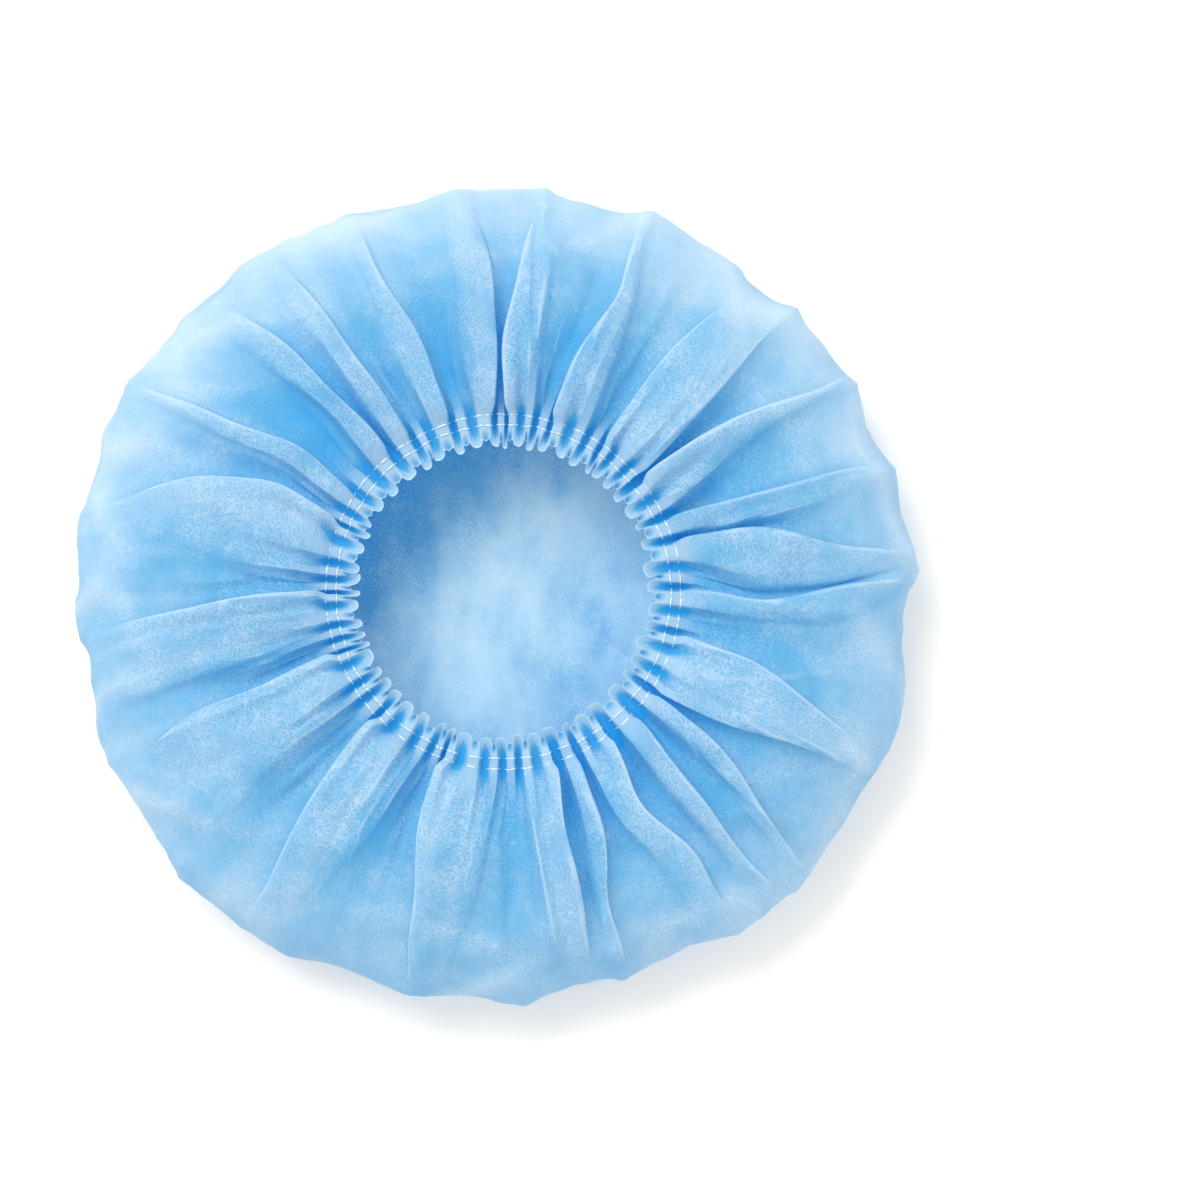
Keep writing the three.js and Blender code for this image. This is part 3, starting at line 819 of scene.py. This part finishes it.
def covered_elastic():
    """Rubber threads covered with white polyester: pale and matt, with a fine uneven weave."""
    tree, output, material = new_material("covered_elastic")
    place = add_node(tree, "ShaderNodeTexCoord")
    weave = add_node(
        tree, "ShaderNodeTexNoise",
        inputs={"Scale": 1000 / WEAVE_SIZE, "Detail": 1.0},
        links={"Vector": place.outputs["Object"]},
    )
    colour = add_node(
        tree, "ShaderNodeMix", {"data_type": "RGBA"},
        {6: linear("c4e2f6"), 7: linear("eef7fd")},
        {0: weave.outputs["Fac"]},
    )
    bump = add_node(
        tree, "ShaderNodeBump",
        inputs={"Strength": 0.4, "Distance": 0.0001},
        links={"Height": weave.outputs["Fac"]},
    )
    cover = add_node(
        tree, "ShaderNodeBsdfPrincipled",
        inputs={"Roughness": 0.8},
        links={"Base Color": colour.outputs[2], "Normal": bump.outputs["Normal"]},
    )
    tree.links.new(cover.outputs[0], output.inputs["Surface"])
    return material


tape.data.materials.append(covered_elastic())
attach(tape, "root")
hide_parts("elastic_band")


# The stitches: a two-needle seam in white polyester thread. Its two rows run round the hem over the
# gathers and show as short dashes on the ruffles, because they dip at the needle holes and troughs.
THREAD_RADIUS = 0.00024
THREAD_WANDER = 0.0002
THREAD_SIDES = 6
STITCH_COLUMNS = 5
NEEDLE_DEPTH = 4 * THREAD_RADIUS
circle = np.linspace(0, 2 * math.pi, THREAD_SIDES, endpoint=False)
thread_profile = THREAD_RADIUS * np.stack([np.cos(circle), np.sin(circle)], axis=1)


def blurred_round(values, reach):
    """Values round the mouth averaged over `reach` columns on both sides."""
    return np.mean([np.roll(values, shift, axis=0) for shift in range(-reach, reach + 1)], axis=0)


def stitch_row(row_radius):
    """The path of the row of stitches at a radius: it lies on the ruffles' crests, dips through the
    cloth where the needle went and runs behind it in the troughs."""
    row = int(np.argmin(np.abs(path_radius - row_radius) + (~above_rim)))
    cloth_line = sheet[row]
    ridge = np.max([np.roll(cloth_line[:, 2], shift) for shift in range(-5, 6)], axis=0)
    lifted = blurred_round(0.35 * ridge + 0.65 * cloth_line[:, 2], 2)
    smooth_line = blurred_round(cloth_line, 2)
    from_middle = smooth_line[:, :2] - MOUTH
    thread_radius = path_radius[row] + by_chance(chance.normal, 0, THREAD_WANDER)
    from_middle *= (thread_radius / np.linalg.norm(from_middle, axis=1))[:, None]
    smooth_line[:, :2] = MOUTH + from_middle
    smooth_line[:, 2] = np.maximum(lifted, cloth_line[:, 2] - THREAD_RADIUS) + THREAD_RADIUS
    hidden = (column % STITCH_COLUMNS == 0) | (toward_trough > 0.6)
    smooth_line[hidden, 2] = cloth_line[hidden, 2] - NEEDLE_DEPTH
    return smooth_line


def thread_tube(path):
    """A round thread along a closed path of points."""
    ahead = np.roll(path, -1, axis=0) - np.roll(path, 1, axis=0)
    ahead /= np.linalg.norm(ahead, axis=1)[:, None]
    aside = np.cross(ahead, [0.0, 0.0, 1.0])
    aside /= np.linalg.norm(aside, axis=1)[:, None]
    return tube_along(path, aside, np.cross(aside, ahead), thread_profile)


threads = [thread_tube(stitch_row(seam)) for seam in (OUTER_SEAM, INNER_SEAM)]
thread_faces = wrapped_faces(COLUMNS, THREAD_SIDES)
stitches = mesh_object(
    "seam_stitches",
    np.vstack([thread.reshape(-1, 3) for thread in threads]),
    [thread_faces, thread_faces + COLUMNS * THREAD_SIDES],
)


# The size of the thread's twist in millimetres
TWIST_SIZE = 0.4


def polyester_thread():
    """Spun white polyester sewing thread: a soft sheen, and a fine unevenness from its twist."""
    tree, output, material = new_material("polyester_thread")
    place = add_node(tree, "ShaderNodeTexCoord")
    twist = add_node(
        tree, "ShaderNodeTexNoise",
        inputs={"Scale": 1000 / TWIST_SIZE},
        links={"Vector": place.outputs["Object"]},
    )
    colour = add_node(
        tree, "ShaderNodeMix", {"data_type": "RGBA"},
        {6: linear("bfe3fa"), 7: linear("f6fcff")},
        {0: twist.outputs["Fac"]},
    )
    thread = add_node(
        tree, "ShaderNodeBsdfPrincipled",
        inputs={"Roughness": 0.5, "Sheen Weight": 0.3},
        links={"Base Color": colour.outputs[2]},
    )
    tree.links.new(thread.outputs[0], output.inputs["Surface"])
    return material


stitches.data.materials.append(polyester_thread())
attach(stitches, "root")
